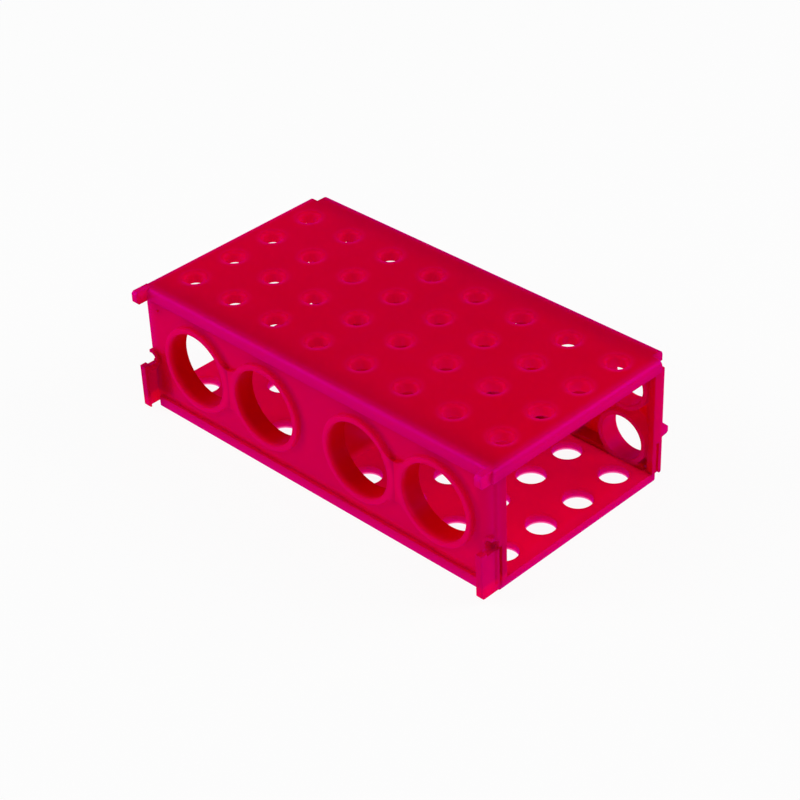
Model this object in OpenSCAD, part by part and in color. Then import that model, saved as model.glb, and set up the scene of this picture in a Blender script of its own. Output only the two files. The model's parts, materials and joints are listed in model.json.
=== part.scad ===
// Four-way tube rack: two hole plates and two collared panels that clip
// together into a rectangular tube, open at both ends. Each long side takes
// one size of tube. Ears and fingers at the corners link racks side by side.
// X runs along the rack, Y from front to back, Z up, in millimetres.

/* [Overall size] */
// Length of the rack
rack_length = 173.6; // [172:0.1:230]
// Depth of the rack without its ears and fins
body_depth = 91.4; // [86:0.2:110]
// Height of the rack
rack_height = 52; // [49:0.5:70]

/* [Plates] */
// Thickness of the top plate
border_t = 4.6; // [4.2:0.1:6.5]
// Thickness of the bottom plate along its border
foot_t = 4.8; // [4.6:0.1:6.5]
// Thickness of the bottom plate where its holes are
foot_web_t = 4.1; // [3:0.1:4.4]
// Width of the thick border along the sides of the bottom plate
border_w = 8.6; // [8:0.1:10]
// Thickness of the upright rib across the middle of the bottom plate
rib_t = 1.6; // [1.2:0.1:4]
// Gap between the rib and the top plate and panels around it
rib_gap = 0.3; // [0.2:0.1:0.8]
// Rounding of the upper edges of the top plate
top_edge_r = 2.4; // [1:0.1:3.5]
// Rounding of the lower edges of the bottom plate along its sides
bottom_edge_r = 1; // [0.6:0.1:3]
// Rounding of the lower edges of the bottom plate at the open ends
bottom_end_r = 2; // [0.6:0.1:3]
// How far the bottom plate stops short of the ends of the top plate
bottom_inset = 1.1; // [0.3:0.1:2]
// How far the panels stop short of the ends of the top plate
panel_inset = 0.6; // [0:0.1:1]

/* [Hole grid of both plates] */
// Number of holes along the rack
grid_cols = 8; // [6:1:8]
// Number of rows of holes
grid_rows = 4; // [3:1:4]
// Distance between holes along the rack
grid_pitch_x = 21.55; // [16:0.05:22]
// Distance between rows of holes
grid_pitch_y = 19.35; // [16:0.05:19.8]

/* [Small tube holes, top plate] */
// Radius of a small tube hole
small_bore_r = 3.7; // [2.8:0.1:4.6]
// Rounding of the mouth of a small tube hole
small_mouth_r = 1.5; // [0.8:0.1:2]

/* [Microtube holes, bottom plate] */
// Radius of a microtube hole
micro_bore_r = 5.5; // [4.6:0.1:5.8]
// Rounding of the edges of a microtube hole
micro_mouth_r = 0.6; // [0.3:0.1:0.9]

/* [Large tube holes, front panel] */
// Distance between the two holes of a pair
large_pair_pitch = 35.9; // [35.4:0.1:37.5]
// Distance between the middles of the two pairs
large_pair_span = 82.9; // [78:0.1:84]
// Radius of a large tube hole
large_bore_r = 14.7; // [12:0.1:15.1]
// Wall of the collar around a large hole
large_collar_t = 2.3; // [1.4:0.1:2.4]
// Depth of the collar around a large hole
large_collar_depth = 8.5; // [7:0.1:9.5]
// Rounding where the rims of a pair run together
neck_fillet_r = 6; // [3:0.5:9]

/* [Medium tube holes, back panel] */
// Number of medium tube holes along the rack
medium_cols = 6; // [4:1:6]
// Distance between medium holes along the rack
medium_pitch_x = 28.8; // [24:0.1:29]
// Distance between the two rows of medium holes
medium_pitch_z = 23.2; // [21.8:0.1:23.6]
// Radius of a medium tube hole
medium_bore_r = 8.9; // [7:0.1:9]
// Wall of the collar around a medium hole
medium_collar_t = 1.8; // [1.2:0.1:1.9]
// Rounding of the outer mouth of a medium hole
medium_mouth_r = 1.2; // [0.6:0.1:1.4]

/* [Panels] */
// Thickness of the flat wall of a panel
wall_t = 2; // [1.6:0.1:2.4]
// How far the wall lies behind the rims of its collars
wall_recess = 1.4; // [1:0.1:2]
// Depth of the front panel from rim to inner edge
front_panel_depth = 6.7; // [6.4:0.1:8]
// Depth of the back panel from rim to inner edge
back_panel_depth = 8.6; // [8:0.1:9]
// Thickness of the posts at the ends of a panel
post_t = 2.5; // [2:0.1:3]
// Radius of the pin mark on the wall of the front panel
pin_mark_r = 0.6; // [0.3:0.1:1]
// Depth of the pin mark
pin_mark_depth = 0.5; // [0.2:0.1:1]
// Distance of the pin mark from the end of the front panel
pin_mark_x = 6.5; // [4:0.1:8]
// Rounding of the upright outer corners of the panels
corner_r = 1.2; // [0.8:0.1:2]

/* [Linking features] */
// How far the ears and fins reach in front of the body
ear_reach = 5; // [3:0.1:7]
// Thickness of an ear or a fin
ear_t = 2.6; // [2.4:0.1:3.4]
// Height of an ear
ear_h = 5.1; // [3.4:0.1:5.4]
// Distance of an ear's outer face from the end of the rack
ear_inset = 1.2; // [0.4:0.1:2]
// Height of the top of a fin above the base
fin_top = 19.9; // [17:0.1:22]
// Height of the bottom of a fin above the base
fin_bottom = 1.7; // [1:0.1:4]
// Thickness of the thin walls of a fin
fin_skin_t = 1.3; // [1:0.1:1.5]
// Width of the slit behind a fin and of the one inside a finger
slit_w = 1.4; // [0.8:0.1:1.6]
// Length of the corner notch at the back, along the rack
notch_x = 4.6; // [3.8:0.1:5]
// Depth of the corner notch at the back, in the top plate
notch_y = 5.8; // [4.6:0.1:6.4]
// How far the posts of the back panel stand out into the corner notch
post_lap = 2.9; // [1:0.1:3]
// How far a latch stands out into the corner notch
latch_reach = 2.7; // [1.6:0.1:2.8]
// Height of the flat underside of a latch above the base
latch_z = 18.6; // [17:0.1:23]

/* [Clips] */
// Number of tabs along each long edge of a panel
tab_count = 4; // [3:1:6]
// Length of a tab
tab_l = 14; // [8:0.5:16]
// How far a tab stands into its slot
tab_h = 2.2; // [1.4:0.1:2.6]
// Gap between a tab and its slot on every side
tab_gap = 0.15; // [0.1:0.05:0.3]

/* [Hidden] */
$fn = 64;

// Half sizes of the body and the planes the panels are set out from.
half_l = rack_length / 2;
half_d = body_depth / 2;
panel_half_l = half_l - panel_inset;
front_rim_y = -half_d;
front_wall_y = front_rim_y + wall_recess;
front_inner_y = front_rim_y + front_panel_depth;
collar_back_y = front_rim_y + large_collar_depth;
back_rim_y = half_d;
back_wall_y = back_rim_y - wall_recess;
back_inner_y = back_rim_y - back_panel_depth;

// The panels stand between the borders of the two plates.
panel_z0 = foot_t;
panel_z1 = rack_height - border_t;
panel_h = panel_z1 - panel_z0;
mid_z = (panel_z0 + panel_z1) / 2;

// Outlines of the collars.
large_rim_r = large_bore_r + large_collar_t;
medium_rim_r = medium_bore_r + medium_collar_t;
rim_edge_r = 0.5;

// Corner notches at the back, and the smaller ones of the bottom plate.
notch_in_x = half_l - notch_x;
notch_in_y = half_d - notch_y;
post_out_y = notch_in_y + post_lap;
fin_x1 = half_l - ear_inset;
fin_x0 = fin_x1 - ear_t;
fin_back_y = front_wall_y + 0.8 * wall_t;
foot_front_y = fin_back_y + slit_w;
foot_back_y = post_out_y - 3.4;
foot_half_l = half_l - bottom_inset;
foot_field_half_l = at(grid_cols - 1, grid_cols, grid_pitch_x)
    + micro_bore_r + micro_mouth_r + 0.3;

// The relief hole at the head of the slit behind a fin, and its rim.
relief_r = 2.3;
relief_rim_t = 1.2;
relief_x = fin_x1 - 0.8;
relief_z = fin_top + 1.1;
fin_root_w = 1.3;

// The origin is the middle of the footprint, ears and fins included.
body_shift = ear_reach / 2;
eps = 0.01;

// The eight large and medium rows are set out symmetrically.
large_xs = [for (s = [-1, 1], t = [-1, 1])
    s * large_pair_span / 2 + t * large_pair_pitch / 2];

// Middle of item i of n at a pitch, set out about zero.
function at(i, n, pitch) = (i - (n - 1) / 2) * pitch;

// What a rounding takes from the corner at the origin of a square in +X +Y.
module corner_bite(r) {
    difference() {
        translate([-eps, -eps])
            square(r + eps);
        translate([r, r])
            circle(r);
    }
}

// Rectangle with its two upper corners rounded, standing on the x axis.
module round_top(w, h, r) {
    difference() {
        translate([-w / 2, 0])
            square([w, h]);
        for (s = [-1, 1])
            translate([s * w / 2, h])
                mirror([s > 0 ? 1 : 0, 0])
                    mirror([0, 1])
                        corner_bite(r);
    }
}

// Slab w by d by h with its upper edges rounded: r along w, end_r along d.
module soft_slab(w, d, h, r, end_r) {
    intersection() {
        rotate([90, 0, 90])
            linear_extrude(w, center = true)
                round_top(d, h, r);
        rotate([90, 0, 0])
            linear_extrude(d, center = true)
                round_top(w, h, end_r);
    }
}

// Cutter along -Z for a hole whose mouth at z = 0 is rounded over.
module soft_mouth(bore_r, mouth_r) {
    rotate_extrude()
        difference() {
            translate([0, -mouth_r])
                square([bore_r + mouth_r, mouth_r + 1]);
            translate([bore_r + mouth_r, -mouth_r])
                circle(mouth_r);
        }
}

// Cutter for one plate hole through thickness t below z = 0.
module plate_hole(bore_r, mouth_r, t) {
    translate([0, 0, -t - 1])
        cylinder(r = bore_r, h = t + 2);
    soft_mouth(bore_r, mouth_r);
}

// Prism between x0 and x1, mirrored to both ends of the rack.
module at_both_ends(x0, x1) {
    for (s = [-1, 1])
        translate([s * (x0 + x1) / 2, 0, 0])
            rotate([90, 0, 90])
                linear_extrude(x1 - x0, center = true)
                    children();
}

// Tabs of a panel at the wall's middle, standing on z = 0; gap widens them.
module tabs(y, gap = 0) {
    pitch = rack_length / tab_count;
    for (i = [0:tab_count - 1])
        translate([at(i, tab_count, pitch) - tab_l / 2 - gap, y - wall_t / 2 - gap, 0])
            cube([tab_l + 2 * gap, wall_t + 2 * gap, tab_h + gap]);
}

// Slots for the tabs of both panels, cut upward from the seat at z = 0.
module tab_slots() {
    for (y = [front_wall_y + wall_t / 2, back_wall_y - wall_t / 2])
        translate([0, 0, -eps])
            tabs(y, tab_gap);
}

// Ear seen from the end: a short arm with a bevelled tip and a soft root.
module ear_outline() {
    tip = front_rim_y - ear_reach;
    z1 = rack_height;
    z0 = z1 - ear_h;
    bevel = 0.9;
    root = 1.5;
    difference() {
        polygon([
            [front_rim_y + top_edge_r, z1],
            [tip + 0.8, z1],
            [tip, z1 - 0.8],
            [tip, z0 + bevel],
            [tip + bevel, z0],
            [front_rim_y - root, z0],
            [front_rim_y, z0 - eps],
            [front_rim_y, panel_z1],
            [front_rim_y + top_edge_r, panel_z1]
        ]);
        translate([front_rim_y - root, z0 - root * 0.75])
            circle(root * 0.75);
    }
}

module top_plate_body() {
    difference() {
        translate([0, 0, panel_z1])
            soft_slab(rack_length, body_depth, border_t, top_edge_r, top_edge_r);
        for (s = [-1, 1])
            translate([
                s * (half_l - notch_x / 2 + 1),
                half_d - notch_y / 2 + 1,
                panel_z1 + border_t / 2
            ])
                cube([notch_x + 2, notch_y + 2, border_t + 2], center = true);
    }
    at_both_ends(fin_x0, fin_x1)
        ear_outline();
}

module top_plate() {
    color("crimson")
        translate([0, body_shift, 0])
            difference() {
                top_plate_body();
                for (i = [0:grid_cols - 1], j = [0:grid_rows - 1])
                    translate([
                        at(i, grid_cols, grid_pitch_x),
                        at(j, grid_rows, grid_pitch_y),
                        rack_height
                    ])
                        plate_hole(small_bore_r, small_mouth_r, border_t);
                translate([0, 0, panel_z1])
                    tab_slots();
            }
}

// Upright rib across the middle of the bottom plate, from panel to panel.
module centre_rib() {
    translate([-rib_t / 2, front_inner_y + rib_gap, panel_z0 - 0.5])
        cube([
            rib_t,
            back_inner_y - front_inner_y - 2 * rib_gap,
            panel_h + 0.5 - rib_gap
        ]);
}

module bottom_plate() {
    color("crimson")
        translate([0, body_shift, 0]) {
            centre_rib();
            difference() {
                translate([0, 0, foot_t])
                    mirror([0, 0, 1])
                        soft_slab(2 * foot_half_l, body_depth, foot_t,
                            bottom_edge_r, bottom_end_r);
                for (s = [-1, 1]) {
                    // front corners stop short of the fins
                    translate([s * (half_l + 1), -half_d, foot_t / 2])
                        cube([
                            2 * (half_l + 1 - fin_x0 + 0.4),
                            2 * (foot_front_y + half_d),
                            foot_t + 2
                        ], center = true);
                    // back corners stop short of the fingers
                    translate([s * (half_l + 1), half_d, foot_t / 2])
                        cube([
                            2 * (notch_x + 1),
                            2 * (half_d - foot_back_y),
                            foot_t + 2
                        ], center = true);
                }
                // thinner field inside the border, cut from below
                translate([0, 0, (foot_t - foot_web_t) / 2 - 0.5])
                    cube([
                        2 * foot_field_half_l,
                        body_depth - 2 * border_w,
                        foot_t - foot_web_t + 1
                    ], center = true);
                for (i = [0:grid_cols - 1], j = [0:grid_rows - 1])
                    translate([
                        at(i, grid_cols, grid_pitch_x),
                        at(j, grid_rows, grid_pitch_y),
                        foot_t
                    ]) {
                        plate_hole(micro_bore_r, micro_mouth_r, foot_t);
                        translate([0, 0, -foot_web_t])
                            mirror([0, 0, 1])
                                soft_mouth(micro_bore_r, micro_mouth_r);
                    }
                translate([0, 0, foot_t])
                    mirror([0, 0, 1])
                        tab_slots();
            }
        }
}

// Ring of a collar, turned about Z, with its outer end's edges rounded.
module collar(bore_r, rim_r, depth) {
    rotate_extrude()
        difference() {
            translate([bore_r, 0])
                square([rim_r - bore_r, depth]);
            for (s = [0, 1])
                translate([s == 0 ? bore_r : rim_r, depth])
                    mirror([s, 0])
                        rim_corner(rim_edge_r);
        }
}

// What a rounded edge takes away from a square corner at the origin.
module rim_corner(r) {
    difference() {
        translate([-eps, -r])
            square([r + eps, r + eps]);
        translate([r, -r])
            circle(r);
    }
}

// Neck between two rims of radius rim_r, with rounded inner corners. Its four
// corners lie a little inside the rims, on the lines to the rounding's middle.
module neck_outline(half_gap, rim_r, fillet) {
    reach = rim_r + fillet - 0.05;
    rise = sqrt(reach * reach - half_gap * half_gap);
    inner = (rim_r - 1) / reach;
    w = half_gap * (1 - inner);
    h = rise * inner;
    difference() {
        square([2 * w, 2 * h], center = true);
        for (s = [-1, 1])
            translate([0, s * rise])
                circle(fillet);
    }
}

// Plan of a panel: wall along the front, a post turned back at each end.
module panel_plan() {
    difference() {
        translate([-panel_half_l, front_wall_y])
            square([2 * panel_half_l, front_inner_y - front_wall_y]);
        translate([-panel_half_l + post_t, front_wall_y + wall_t])
            square([2 * (panel_half_l - post_t), front_panel_depth]);
        for (s = [-1, 1])
            translate([s * panel_half_l, front_wall_y])
                mirror([s > 0 ? 1 : 0, 0])
                    corner_bite(corner_r);
    }
}

// Fin seen from the end, with its lower front corner rounded.
module fin_outline() {
    tip = front_rim_y - ear_reach;
    r = 1.4;
    back = fin_back_y;
    translate([tip + r, fin_bottom])
        square([back - tip - r, fin_top - fin_bottom]);
    translate([tip, fin_bottom + r])
        square([back - tip, fin_top - fin_bottom - r]);
    translate([tip + r, fin_bottom + r])
        circle(r);
}

module front_panel() {
    color("crimson")
        translate([0, body_shift, 0])
            difference() {
                union() {
                    translate([0, 0, panel_z0])
                        linear_extrude(panel_h)
                            panel_plan();
                    // flanges along the top and the bottom edge
                    for (z = [panel_z0, panel_z1 - wall_t])
                        translate([-panel_half_l + post_t - eps, front_wall_y + wall_t - eps, z])
                            cube([
                                2 * (panel_half_l - post_t + eps),
                                front_panel_depth - wall_recess - wall_t + eps,
                                wall_t
                            ]);
                    for (x = large_xs)
                        translate([x, collar_back_y, mid_z])
                            rotate([90, 0, 0])
                                collar(large_bore_r, large_rim_r, large_collar_depth);
                    for (s = [-1, 1])
                        translate([s * large_pair_span / 2, front_wall_y + eps, mid_z])
                            rotate([90, 0, 0])
                                linear_extrude(wall_recess + eps)
                                    neck_outline(large_pair_pitch / 2, large_rim_r,
                                        neck_fillet_r);
                    at_both_ends(fin_x0, fin_x1)
                        fin_outline();
                    // rim around the relief hole above each fin
                    intersection() {
                        for (s = [-1, 1])
                            translate([s * relief_x, front_wall_y + 0.6, relief_z])
                                rotate([90, 0, 0])
                                    cylinder(r = relief_r + relief_rim_t,
                                        h = wall_recess + 0.6);
                        translate([-fin_x1, front_rim_y - 1, fin_bottom])
                            cube([2 * fin_x1, 4, panel_h]);
                    }
                    translate([0, 0, panel_z1])
                        tabs(front_wall_y + wall_t / 2);
                    translate([0, 0, panel_z0])
                        mirror([0, 0, 1])
                            tabs(front_wall_y + wall_t / 2);
                }
                // pin mark in the upper corner of the wall
                translate([
                    pin_mark_x - panel_half_l,
                    front_wall_y + pin_mark_depth,
                    panel_z1 - 4.5
                ])
                    rotate([90, 0, 0])
                        cylinder(r = pin_mark_r, h = wall_recess);
                for (x = large_xs)
                    translate([x, collar_back_y + 1, mid_z])
                        rotate([90, 0, 0])
                            cylinder(r = large_bore_r, h = large_collar_depth + 2);
                for (s = [-1, 1]) {
                    translate([s * relief_x, fin_back_y, relief_z])
                        rotate([90, 0, 0])
                            cylinder(r = relief_r, h = wall_t + wall_recess + 2);
                    // slit that frees the fin from the post behind it
                    translate([
                        s * (half_l + fin_x0 + fin_root_w) / 2 + s * 0.5,
                        fin_back_y + slit_w / 2,
                        fin_top / 2
                    ])
                        cube([
                            half_l - fin_x0 - fin_root_w + 1,
                            slit_w,
                            fin_top
                        ], center = true);
                    // a fin is hollow on the side that faces the holes
                    translate([
                        s * ((fin_x0 + fin_x1 - fin_skin_t) / 2 - 0.5),
                        (front_rim_y - ear_reach + fin_skin_t + front_wall_y) / 2,
                        (fin_top - 3) / 2
                    ])
                        cube([
                            ear_t - fin_skin_t + 1,
                            ear_reach + wall_recess - fin_skin_t,
                            fin_top - 3
                        ], center = true);
                }
            }
}

// Plan of the back panel, stepped in at the ends to leave the corner notches.
module back_plan() {
    difference() {
        union() {
            translate([-notch_in_x, back_inner_y])
                square([2 * notch_in_x, back_wall_y - back_inner_y]);
            translate([-panel_half_l, back_inner_y])
                square([2 * panel_half_l, post_out_y - back_inner_y]);
        }
        translate([-panel_half_l + post_t, back_inner_y - 1])
            square([
                2 * (panel_half_l - post_t),
                post_out_y - wall_t - back_inner_y + 1
            ]);
        translate([-notch_in_x + wall_t, back_inner_y])
            square([2 * (notch_in_x - wall_t), back_wall_y - wall_t - back_inner_y]);
        for (s = [-1, 1])
            translate([s * panel_half_l, post_out_y])
                mirror([s > 0 ? 1 : 0, 0])
                    mirror([0, 1])
                        corner_bite(corner_r);
    }
}

// Latch seen from the end: flat below, sloping above.
module latch_outline() {
    tip = post_out_y + latch_reach;
    root = post_out_y - 0.5;
    polygon([
        [root, latch_z],
        [tip - 0.6, latch_z + 0.3],
        [tip, latch_z + 0.9],
        [tip, latch_z + 2.9],
        [tip - 0.4, latch_z + 3.4],
        [root, latch_z + 3.4 + latch_reach]
    ]);
}

// Finger below a latch, seen from the end.
module finger_outline() {
    y0 = post_out_y - 2.4;
    y1 = post_out_y;
    z0 = panel_z0 - 1;
    polygon([
        [y0, z0 + 0.6],
        [y0 + 0.6, z0],
        [y1 - 1, z0],
        [y1, z0 + 1],
        [y1, latch_z + 1],
        [y0, latch_z + 1]
    ]);
}

module back_panel() {
    color("crimson")
        translate([0, body_shift, 0])
            difference() {
                union() {
                    difference() {
                        union() {
                            translate([0, 0, panel_z0])
                                linear_extrude(panel_h)
                                    back_plan();
                            for (z = [panel_z0, panel_z1 - wall_t])
                                translate([-notch_in_x + eps, back_inner_y, z])
                                    cube([
                                        2 * notch_in_x - 2 * eps,
                                        back_panel_depth - wall_recess - eps,
                                        wall_t
                                    ]);
                        }
                        // slit that frees each finger from its post
                        for (s = [-1, 1])
                            translate([
                                s * (half_l + 1 - (notch_x + 0.6) / 2),
                                post_out_y - 2.4 - slit_w / 2 + 2,
                                panel_z0 + (latch_z - panel_z0 - 1.4) / 2
                            ])
                                cube([
                                    notch_x + 2.6,
                                    slit_w + 4,
                                    latch_z - panel_z0 - 1.4
                                ], center = true);
                    }
                    // a finger has the rounded corner of its post
                    intersection() {
                        at_both_ends(notch_in_x + 0.2, panel_half_l)
                            finger_outline();
                        linear_extrude(rack_height)
                            difference() {
                                square(2 * rack_length, center = true);
                                for (s = [-1, 1])
                                    translate([s * panel_half_l, post_out_y])
                                        mirror([s > 0 ? 1 : 0, 0])
                                            mirror([0, 1])
                                                corner_bite(corner_r);
                            }
                    }
                    at_both_ends(notch_in_x + 0.2, panel_half_l - 0.2)
                        latch_outline();
                    // the collars run flat into the seats of the panel
                    intersection() {
                        for (i = [0:medium_cols - 1], j = [0, 1])
                            translate([
                                at(i, medium_cols, medium_pitch_x),
                                back_inner_y,
                                mid_z + at(j, 2, medium_pitch_z)
                            ])
                                rotate([-90, 0, 0])
                                    collar(medium_bore_r, medium_rim_r,
                                        back_panel_depth);
                        translate([-half_l, back_inner_y, panel_z0])
                            cube([rack_length, back_panel_depth, panel_h]);
                    }
                    translate([0, 0, panel_z1])
                        tabs(back_wall_y - wall_t / 2);
                    translate([0, 0, panel_z0])
                        mirror([0, 0, 1])
                            tabs(back_wall_y - wall_t / 2);
                }
                for (i = [0:medium_cols - 1], j = [0, 1])
                    translate([
                        at(i, medium_cols, medium_pitch_x),
                        back_inner_y,
                        mid_z + at(j, 2, medium_pitch_z)
                    ])
                        rotate([-90, 0, 0])
                            translate([0, 0, back_panel_depth]) {
                                translate([0, 0, -back_panel_depth - 1])
                                    cylinder(r = medium_bore_r,
                                        h = back_panel_depth + 2);
                                soft_mouth(medium_bore_r, medium_mouth_r);
                            }
            }
}

top_plate();
bottom_plate();
front_panel();
back_panel();
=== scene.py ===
import json
import math

import bpy
import numpy as np
from mathutils import Euler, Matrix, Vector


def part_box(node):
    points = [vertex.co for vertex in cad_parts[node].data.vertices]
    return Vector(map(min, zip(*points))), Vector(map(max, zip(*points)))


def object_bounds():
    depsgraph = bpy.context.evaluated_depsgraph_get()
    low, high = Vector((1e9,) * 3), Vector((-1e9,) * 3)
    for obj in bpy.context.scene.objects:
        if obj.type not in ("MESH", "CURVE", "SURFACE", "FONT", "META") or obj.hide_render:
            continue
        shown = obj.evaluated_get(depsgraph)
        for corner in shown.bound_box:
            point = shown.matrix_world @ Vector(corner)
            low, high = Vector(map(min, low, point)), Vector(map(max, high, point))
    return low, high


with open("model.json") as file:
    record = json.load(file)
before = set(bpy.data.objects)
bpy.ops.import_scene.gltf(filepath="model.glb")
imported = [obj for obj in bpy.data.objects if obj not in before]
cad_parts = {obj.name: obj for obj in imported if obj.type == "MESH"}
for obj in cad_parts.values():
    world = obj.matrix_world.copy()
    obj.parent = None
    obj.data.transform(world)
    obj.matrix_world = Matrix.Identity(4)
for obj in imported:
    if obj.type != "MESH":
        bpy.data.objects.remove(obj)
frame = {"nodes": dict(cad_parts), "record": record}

CAD_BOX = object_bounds()

# The rack's faces, in metres. Its front is the front of the bottom plate, so
# that the ears of the top plate stand beyond it.
HALF_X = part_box("top_plate")[1][0]
TOP_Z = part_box("top_plate")[1][2]
BACK_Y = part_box("top_plate")[1][1]
FRONT_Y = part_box("bottom_plate")[0][1]
FOOT_T = 0.0048

# Where the record says that tubes go: the middles of the plates' openings, and
# the axes of the large and medium holes in the panels.
PLACES = np.array([opening["box_m"] for opening
                   in frame["record"]["physics"]["openings"]]).mean(axis=1)
MOUNTS = {mount["name"]: mount for mount in frame["record"]["mounts"]}
LARGE = np.array([MOUNTS["large_tube_%d" % k]["pos_m"] for k in range(1, 5)])
MEDIUM = np.array([MOUNTS["medium_tube_%d" % k]["pos_m"]
                   for k in range(1, 13)])

# Radii of the holes: small in the top plate, micro in the bottom plate, large
# in the front panel and medium in the back panel.
SMALL_R = 0.0037
MICRO_R = 0.0055
LARGE_R = MOUNTS["large_tube_1"]["dims"]["r_mm"] / 1000
MEDIUM_R = MOUNTS["medium_tube_1"]["dims"]["r_mm"] / 1000


# ---------------------------------------------------------------- shader maths

class Value:
    """One number in a shader. Arithmetic on it adds Math nodes to its tree."""

    def __init__(self, recipe, socket):
        self.recipe = recipe
        self.socket = socket

    def _math(self, operation, *terms):
        return self.recipe.node("Math", "Value", {"operation": operation},
                                dict(enumerate(terms)))

    def __add__(self, other):
        return self._math("ADD", self, other)

    def __sub__(self, other):
        return self._math("SUBTRACT", self, other)

    def __rsub__(self, other):
        return self._math("SUBTRACT", other, self)

    def __mul__(self, other):
        return self._math("MULTIPLY", self, other)

    def __truediv__(self, other):
        return self._math("DIVIDE", self, other)

    def __rtruediv__(self, other):
        return self._math("DIVIDE", other, self)

    def __abs__(self):
        return self._math("ABSOLUTE", self)

    __radd__ = __add__
    __rmul__ = __mul__

    def least(self, other):
        return self._math("MINIMUM", self, other)

    def most(self, other):
        return self._math("MAXIMUM", self, other)

    def hypot(self, other):
        """Root of the sum of the two squares."""
        return self._math("SQRT", self * self + other * other)

    def folded(self, middle, spacing):
        """Signed distance from the nearest of evenly spaced middles."""
        return self._math("WRAP", self - middle, spacing / 2, -spacing / 2)

    def ramp(self, start, end):
        """0 below start, 1 above end, and an S-shaped rise between them."""
        return self.recipe.node(
            "MapRange", "Result", {"interpolation_type": "SMOOTHSTEP"},
            {"Value": self, "From Min": start, "From Max": end})


class Recipe:
    """A material's or world's node tree, filled one node at a time."""

    def __init__(self, owner):
        owner.use_nodes = True
        self.owner = owner
        self.tree = owner.node_tree
        self.tree.nodes.clear()

    def node(self, kind, output, settings=(), inputs=()):
        """Add a node of a kind: its settings first, then its values and links.
        The answer is the named output, or the node itself for None."""
        made = self.tree.nodes.new("ShaderNode" + kind)
        for key, setting in dict(settings).items():
            setattr(made, key, setting)
        for key, given in dict(inputs).items():
            if isinstance(given, Value):
                self.tree.links.new(given.socket, made.inputs[key])
            else:
                made.inputs[key].default_value = given
        return made if output is None else Value(self, made.outputs[output])

    def split(self, place):
        """The x, y and z of a place as three numbers."""
        parts = self.node("SeparateXYZ", None, (), {"Vector": place})
        return [Value(self, parts.outputs[axis]) for axis in "XYZ"]

    def noise(self, place, scale, detail, roughness):
        return self.node("TexNoise", "Fac", {"noise_dimensions": "3D"},
                         {"Vector": place, "Scale": scale, "Detail": detail,
                          "Roughness": roughness})

    def blend(self, share, first, second):
        """first where share is 0, second where it is 1, as colours. A Mix node
        has sockets of one name for each type, so they go by number."""
        return self.node("Mix", 2, {"data_type": "RGBA"},
                         {0: share, 6: first, 7: second})

    def finish(self, shader):
        self.node("OutputMaterial", None, (), {"Surface": shader})
        return self.owner


def colour(red, green, blue):
    """A screen colour of 0 to 255 as linear light, with full opacity."""
    def linear(level):
        level = level / 255
        return level / 12.92 if level <= 0.04045 else (
            (level + 0.055) / 1.055) ** 2.4
    return (linear(red), linear(green), linear(blue), 1.0)


def light(red, green, blue):
    """Linear light, with full opacity."""
    return (red, green, blue, 1.0)


# ---------------------------------------------------------- places on the rack

def band(distance, middle, reach):
    """1 where a distance equals middle, 0 from reach away, eased between."""
    return 1 - abs(distance - middle).ramp(0.0, reach)


def lattice(numbers):
    """First value and spacing of evenly spaced numbers that may repeat."""
    steps = np.unique(np.round(numbers, 5))
    return float(steps[0]), float(steps[1] - steps[0])


# The nearness to an edge falls along an S from just outside it to its reach.
EDGE_START = -0.001
EDGE_REACH = 0.0065


def edge_nearness(x, y, z, flat, down):
    """Nearly 1 on an edge of the rack's box, 0 from EDGE_REACH away.

    With dx, dy and dz the distances to the nearest side along each axis, the
    distance to an edge is the middle one of the three. The first two are
    counted flat times over and the third down times over.
    """
    half_y = (BACK_Y - FRONT_Y) / 2
    dx = (HALF_X - abs(x)) * flat
    dy = (half_y - abs(y - (FRONT_Y + half_y))) * flat
    dz = z.least(TOP_Z - z) * down
    middle = dx.least(dy).most(dx.most(dy).least(dz))
    return 1 - middle.ramp(EDGE_START, EDGE_REACH)


# The plates' field of holes fades out between these distances beyond the axes
# of its outer rows.
FIELD_FADE = 0.0065, 0.0085


def plate_holes(x, y):
    """A point's place from the axis of the nearest hole of a plate, its
    distance from that axis, and 1 over the field of holes, 0 beside it."""
    right = x.folded(*lattice(PLACES[:, 0]))
    back = y.folded(*lattice(PLACES[:, 1]))
    rows = np.unique(np.round(PLACES[:, 1], 5))
    beyond = abs(y - float(rows.mean())) - float(np.ptp(rows)) / 2
    return right, back, right.hypot(back), 1 - beyond.ramp(*FIELD_FADE)


OUTER_LARGE_X = float(LARGE[:, 0].max())


def large_holes(x, z):
    """Place of a point from the axis of the nearest large hole, to the right
    and up. With d the distance beyond the middle of the nearest pair and p half
    the pair's pitch, the first is d - p on the right and d + p on the left."""
    right = LARGE[LARGE[:, 0] > 0, 0]
    half, middle = float(np.ptp(right)) / 2, float(right.mean())
    pair = x.folded(middle, 2 * middle)
    return pair - pair / abs(pair) * half, z - float(LARGE[0, 2])


def medium_radius(x, z):
    """Distance from the axis of the nearest medium hole."""
    right = x.folded(*lattice(MEDIUM[:, 0]))
    up = z.folded(*lattice(MEDIUM[:, 2]))
    return right.hypot(up)


# --------------------------------------------------------------------- plastic

# Each noise is a scale in waves to the metre, a detail and a roughness.
CLOUD = 14.0, 2.0, 0.55
MOTTLE = 90.0, 3.0, 0.6
SWELL = 28.0, 1.0, 0.5
GRAIN = 1900.0, 2.0, 0.5

# How high the slow swell and the fine grain of the surface stand, in metres,
# and the radius by which corners are eased before they catch light.
SWELL_H = 0.00016
GRAIN_H = 0.000006
EASED_R = 0.0009

# How much light the walls pass on, the most gloss that a flat view of the
# outside gives, and how rough the skin is, smoothest and by its mottle.
PASSED_SHARE = 0.45
MOST_GLOSS = 0.2
SKIN_ROUGHNESS = 0.28
SKIN_MOTTLE = 0.12

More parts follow.
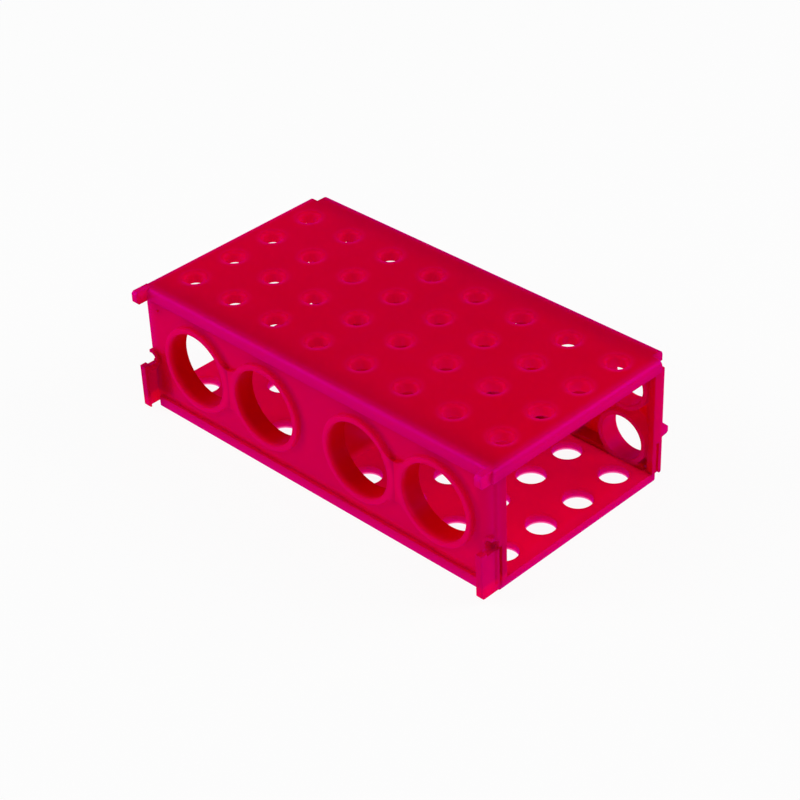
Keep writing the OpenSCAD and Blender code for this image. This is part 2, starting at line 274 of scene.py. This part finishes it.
PASSED_LIGHT = colour(255, 0, 44)
SKIN = light(0.65, 0.0, 0.75)
# Painted highlight and painted glow near the edges of the rack's box.
EDGE_PAINTED_HIGHLIGHT, EDGE_PAINTED_GLOW = colour(255, 0, 112), light(0.085, 0.0, 0.05)
# Painted highlight of the rounded mouths of the small holes.
MOUTH_PAINTED_HIGHLIGHT = colour(255, 0, 96)
# Painted highlight and painted glow of the collars' rims.
RIM_PAINTED_HIGHLIGHT, RIM_PAINTED_GLOW = colour(255, 0, 100), light(0.1, 0.0, 0.04)
PANEL_DYES = colour(246, 0, 24), colour(250, 0, 36)


class Moulding:
    """Dyed polypropylene as it leaves the mould: a deep red body that passes
    light on, brighter and more magenta where it is thin, under a satin skin,
    with a painted highlight and painted glow near an edge. Painted shades and
    highlights are layered one over the other on the dyes, and so is painted
    glow, emission that stands for light welling up inside the plastic. Two dyes
    mottle the body, seed moves the mottling, and flat and down are those of
    edge_nearness."""

    def __init__(self, name, seed, dyes, flat=1.0, down=1.0):
        self.recipe = Recipe(bpy.data.materials.new(name))
        place = self.recipe.node("TexCoord", "Object")
        self.x, self.y, self.z = self.recipe.split(place)
        self.moved = self.recipe.node(
            "Mapping", "Vector", {"vector_type": "POINT"},
            {"Vector": place, "Location": (seed, 0.37 * seed, 0.0)})
        cloud = self.recipe.noise(self.moved, *CLOUD)
        self.mottle = self.recipe.noise(self.moved, *MOTTLE)
        tone = (cloud * 0.7 + self.mottle * 0.3).ramp(0.3, 0.7)
        self.dye = self.recipe.blend(tone, *dyes)
        # Emission for painted glow: none until a layer adds some.
        self.well = light(0.0, 0.0, 0.0)
        self.gloss = None
        # Painted highlight and painted glow near every edge of the rack's box.
        self.layer(edge_nearness(self.x, self.y, self.z, flat, down),
                   EDGE_PAINTED_HIGHLIGHT, EDGE_PAINTED_GLOW)

    def layer(self, share, dye=None, well=None):
        """Lay a colour of painted shade or highlight, a painted glow or both over what is
        there, by share.
        """
        if dye is not None:
            self.dye = self.recipe.blend(share, self.dye, dye)
        if well is not None:
            self.well = self.recipe.blend(share, self.well, well)

    def bump(self, height, **more):
        """The surface's normal, tilted by a height in metres."""
        return self.recipe.node("Bump", "Normal", (), {
            "Height": height, "Strength": 1.0, "Distance": 1.0, **more})

    def skin_share(self, normal):
        """How much the skin shows: its mirrored share, no more than MOST_GLOSS
        on the outside of a wall, times the gloss."""
        mirrored = self.recipe.node("Fresnel", "Fac", (),
                                    {"IOR": 1.5, "Normal": normal})
        inside = self.recipe.node("NewGeometry", "Backfacing")
        share = mirrored.least(inside * (1 - MOST_GLOSS) + MOST_GLOSS)
        return share if self.gloss is None else share * self.gloss

    def finish(self):
        """The material: scattering body and passed light under the skin. Only
        the first two take the eased corners, which would line the skin."""
        recipe = self.recipe
        height = (recipe.noise(self.moved, *SWELL) * SWELL_H
                  + recipe.noise(self.moved, *GRAIN) * GRAIN_H)
        normal = self.bump(height)
        eased = self.bump(height, Normal=recipe.node(
            "Bevel", "Normal", {"samples": 6}, {"Radius": EASED_R}))
        body = recipe.node("BsdfPrincipled", "BSDF", (), {
            "Base Color": self.dye,
            "Roughness": 0.6,
            "Specular IOR Level": 0.0,
            "Subsurface Weight": 1.0,
            "Subsurface Radius": (1.0, 0.05, 0.25),
            "Subsurface Scale": 0.003,
            # The emission is the painted glow; the plastic is no lamp.
            "Emission Color": self.well,
            "Emission Strength": 1.0,
            "Normal": eased})
        passed = recipe.node("BsdfTranslucent", "BSDF", (), {
            "Color": PASSED_LIGHT, "Normal": eased})
        plastic = recipe.node("MixShader", "Shader", (), {
            0: PASSED_SHARE, 1: body, 2: passed})
        skin = recipe.node("BsdfGlossy", "BSDF", (), {
            "Color": SKIN,
            "Roughness": SKIN_ROUGHNESS + self.mottle * SKIN_MOTTLE,
            "Normal": normal})
        return recipe.finish(recipe.node("MixShader", "Shader", (), {
            0: self.skin_share(normal), 1: plastic, 2: skin}))


def top_plate_plastic():
    """The rounded mouths of the small holes have a painted highlight and painted
    glow, a little more magenta all round, and clearly so on the lit side to the
    right and front. Mouths are less glossy, and a painted glow makes the walls
    within them as bright as the plate."""
    mouth_r, mouth_reach = 0.0046, 0.0026
    lit_r, lit_reach = 0.0048, 0.0018
    dull_r, dull_reach = 0.0043, 0.0012
    wall_fade = 0.0009

    made = Moulding("magenta_top_plate", 0.63,
                    (colour(241, 0, 24), colour(246, 0, 36)), 1.45, 0.8)
    right, back, r, field = plate_holes(made.x, made.y)
    # Painted highlight and painted glow all round each mouth.
    made.layer(band(r, mouth_r, mouth_reach) * field * 0.35,
               MOUTH_PAINTED_HIGHLIGHT, light(0.05, 0.0, 0.03))
    # Stronger painted highlight and painted glow on the lit side of each mouth, to the
    # right and front.
    lit_side = ((right - back) / r).ramp(0.2, 1.3)
    made.layer(band(r, lit_r, lit_reach) * field * lit_side * 0.85,
               MOUTH_PAINTED_HIGHLIGHT, light(0.12, 0.0, 0.06))
    made.gloss = 1 - band(r, dull_r, dull_reach) * field * 0.8
    # Painted glow and a brighter colour light the walls within the mouths as bright as the
    # plate.
    wall = 1 - r.ramp(SMALL_R, SMALL_R + wall_fade)
    made.layer(wall * field, colour(255, 0, 60), light(0.23, 0.0, 0.03))
    return made.finish()


def bottom_plate_plastic():
    """A painted glow stands for light from below that wells up through the
    plate's upper face, over the field of holes. Painted light from below turns
    the walls of the holes from the plate's red at the top to magenta, and to
    pale pink at the lip, with a painted glow."""
    upper_fade = 0.0005, 0.004
    upper_start = 0.003, 0.0045
    wall_fade = 0.0002, 0.0009
    magenta_z = 0.0008, 0.0046
    lip_z = 0.0012, 0.0019

    made = Moulding("magenta_bottom_plate", 0.21,
                    (colour(250, 0, 36), colour(254, 0, 48)))
    _, _, r, field = plate_holes(made.x, made.y)
    # Painted glow on the upper face over the field of holes, for light from the sheet
    # below.
    made.layer((1 - (made.z - FOOT_T).ramp(*upper_fade)) * field
               * made.z.ramp(*upper_start), None, light(0.22, 0.0, 0.04))
    wall = (1 - r.ramp(MICRO_R + wall_fade[0], MICRO_R + wall_fade[1])) * field
    # Painted light from below: the walls of the holes turn magenta and glow towards the
    # bottom.
    made.layer(wall * (1 - made.z.ramp(*magenta_z)),
               colour(255, 0, 128), light(0.4, 0.0, 0.13))
    # Painted light from below: pale pink colour and a strong painted glow at the lip.
    made.layer(wall * (1 - made.z.ramp(*lip_z)),
               colour(240, 110, 180), light(0.75, 0.15, 0.38))
    return made.finish()


def front_panel_plastic():
    """Painted shade makes the right end, the lower left end and the insides of
    the large collars deeper red, and a painted shadow darkens a crescent outside
    each rim, up and to the right. The foot has a painted glow, and the rims a
    painted highlight and painted glow that make them a little more magenta."""
    right_end = 0.016, 0.02
    left_end, left_top = (0.015, 0.018), (0.022, 0.028)
    shade_r, shade_reach = LARGE_R + 0.004, 0.0034
    field_fade = 0.0195, 0.0215
    foot_top = FOOT_T + 0.0003, FOOT_T + 0.003
    inside_edge = LARGE_R - 0.0001, LARGE_R + 0.0004
    inside_start = FRONT_Y, FRONT_Y + 0.002
    rim_r, rim_reach = LARGE_R + 0.0015, 0.0026
    rim_depth = FRONT_Y + 0.0005, FRONT_Y + 0.003

    made = Moulding("magenta_front_panel", 0.42, PANEL_DYES)
    right, up = large_holes(made.x, made.z)
    r = right.hypot(up)
    field = 1 - (abs(made.x) - OUTER_LARGE_X).ramp(*field_fade)

    # Painted shade: the right end beyond the outer large holes is deeper red.
    made.layer((made.x - OUTER_LARGE_X).ramp(*right_end) * 0.75,
               colour(214, 0, 26))
    # Painted shade: the lower left end, between the fin and the first collar, is deeper
    # red.
    made.layer((0 - made.x - OUTER_LARGE_X).ramp(*left_end)
               * (1 - made.z.ramp(*left_top)) * 0.8, colour(200, 0, 12))
    # Painted shadow of each rim: a deeper red crescent outside it, up and to the right.
    shaded_side = ((right * 0.8 + up * 0.6) / r).ramp(-0.1, 0.9)
    made.layer(band(r, shade_r, shade_reach) * field * shaded_side * 0.85,
               colour(196, 0, 14))
    # Painted glow along the foot that lifts the shade above the bottom plate's lip.
    made.layer(1 - made.z.ramp(*foot_top),
               colour(252, 0, 40), light(0.2, 0.0, 0.02))
    # Painted shade inside the large collars: deeper red.
    inside = (1 - r.ramp(*inside_edge)) * made.y.ramp(*inside_start)
    made.layer(inside, colour(216, 0, 14))
    # Painted highlight and painted glow on each large collar's rim.
    rim = (band(r, rim_r, rim_reach) * field
           * (1 - made.y.ramp(*rim_depth)))
    made.layer(rim * 0.6, RIM_PAINTED_HIGHLIGHT, RIM_PAINTED_GLOW)
    made.gloss = (1 - inside * 0.8) * (1 - rim * 0.5)
    return made.finish()


def back_panel_plastic():
    """Both ends of the medium collars have a painted highlight and painted glow
    that make them a little more magenta, and their insides are less glossy."""
    rim_r, rim_reach = MEDIUM_R + 0.0008, 0.0024
    inside_edge = MEDIUM_R, MEDIUM_R + 0.0006

    made = Moulding("magenta_back_panel", 0.0, PANEL_DYES)
    r = medium_radius(made.x, made.z)
    # Painted highlight and painted glow at both ends of each medium collar.
    made.layer(band(r, rim_r, rim_reach) * 0.6, RIM_PAINTED_HIGHLIGHT, RIM_PAINTED_GLOW)
    made.gloss = 1 - (1 - r.ramp(*inside_edge)) * 0.7
    return made.finish()


# ----------------------------------------------------------------------- stage

WHITE = light(1.0, 1.0, 1.0)
SHEET = light(0.8, 0.8, 0.8)
OWN_LIGHT = 0.93
FLOOR_HALF = 4.0
FLOOR_GAP = 0.00005

# The room is white near the floor and dim overhead: its light goes from the
# first number to the second as a direction rises between the two heights.
ROOM_LIGHT = 1.0, 0.2
ROOM_HEIGHTS = 0.03, 0.4

# Square lamps: name, place and side in metres, and power in watts.
LAMPS = (("key_left", (-0.8, -0.8, 0.8), 0.8, 8.5),
         ("key_right", (0.75, 0.9, 0.75), 0.8, 8.5),
         ("overhead", (0.2, -0.1, 1.3), 0.9, 3.0))

# The eye: place in metres, turns about x, y and z in degrees, and a lens and
# sensor in millimetres.
EYE_PLACE = (0.466561, BACK_Y - 0.503743, 0.467027)
EYE_TURNS = (55.4322, 1.98688, 44.2046)
LENS_MM = 98.777
SENSOR_MM = 36.0


def paper_floor():
    """A pale sheet, lit from beneath, that shows white and takes a faint
    shadow: OWN_LIGHT of what it shows is its own light, and the rest is what
    falls on it."""
    recipe = Recipe(bpy.data.materials.new("pale_sheet"))
    sheet = recipe.node("BsdfDiffuse", "BSDF", (), {"Color": SHEET})
    white = recipe.node("Emission", "Emission", (),
                        {"Color": WHITE, "Strength": 1.0})
    return recipe.finish(recipe.node("MixShader", "Shader", (), {
        0: OWN_LIGHT, 1: sheet, 2: white}))


def flat_sheet(name, half, z):
    """Square sheet at height z: x and y run over a grid from -half to half."""
    x, y = np.meshgrid([-half, half], [-half, half])
    points = np.stack([x.ravel(), y.ravel(), np.full(4, z)], axis=1)
    mesh = bpy.data.meshes.new(name)
    mesh.from_pydata(points.tolist(), [], [(0, 1, 3, 2)])
    sheet = bpy.data.objects.new(name, mesh)
    bpy.context.scene.collection.objects.link(sheet)
    return sheet


def soft_box(name, place, target, side, power):
    """Square lamp of a side and power at a place. It is tipped from straight
    down by the angle whose tangent is the way across over the way down, and
    turned to face the target."""
    lamp = bpy.data.lights.new(name, "AREA")
    lamp.shape = "SQUARE"
    lamp.size = side
    lamp.energy = power
    holder = bpy.data.objects.new(name, lamp)
    bpy.context.scene.collection.objects.link(holder)
    way = np.array(target) - np.array(place)
    across = math.hypot(way[0], way[1])
    tip = math.atan2(across, -way[2])
    turn = math.atan2(way[1], way[0]) - math.pi / 2
    holder.location = place
    holder.rotation_euler = Euler((tip, 0.0, turn))


def room():
    """The room's light, with plain white behind the object for the eye."""
    world = bpy.data.worlds.new("room")
    bpy.context.scene.world = world
    recipe = Recipe(world)
    height = recipe.split(recipe.node("TexCoord", "Generated"))[2]
    fall = recipe.node("MapRange", "Result", (), {
        "Value": height, "From Min": ROOM_HEIGHTS[0],
        "From Max": ROOM_HEIGHTS[1], "To Min": ROOM_LIGHT[0],
        "To Max": ROOM_LIGHT[1]})
    walls = recipe.node("Background", "Background", (), {"Color": fall})
    behind = recipe.node("Background", "Background", (), {"Color": WHITE})
    seen = recipe.node("LightPath", "Is Camera Ray")
    recipe.node("OutputWorld", None, (), {"Surface": recipe.node(
        "MixShader", "Shader", (), {0: seen, 1: walls, 2: behind})})


def studio():
    floor = flat_sheet("floor", FLOOR_HALF, float(CAD_BOX[0][2]) - FLOOR_GAP)
    floor.data.materials.append(paper_floor())
    room()
    middle = (0.0, 0.0, TOP_Z / 2)
    for name, place, side, power in LAMPS:
        soft_box(name, place, middle, side, power)


def camera():
    """The eye stands off the rack's front right corner and looks down on it."""
    lens = bpy.data.cameras.new("eye")
    lens.sensor_width = SENSOR_MM
    lens.lens = LENS_MM
    eye = bpy.data.objects.new("eye", lens)
    bpy.context.scene.collection.objects.link(eye)
    eye.location = EYE_PLACE
    eye.rotation_euler = Euler([math.radians(turn) for turn in EYE_TURNS])
    bpy.context.scene.camera = eye


# ---------------------------------------------------------------------- making

for name, plastic in (("top_plate", top_plate_plastic()),
                      ("bottom_plate", bottom_plate_plastic()),
                      ("front_panel", front_panel_plastic()),
                      ("back_panel", back_panel_plastic())):
    node = frame["nodes"][name]
    node.data.materials.clear()
    node.data.materials.append(plastic)

studio()
camera()
bpy.context.scene.view_settings.view_transform = "Standard"
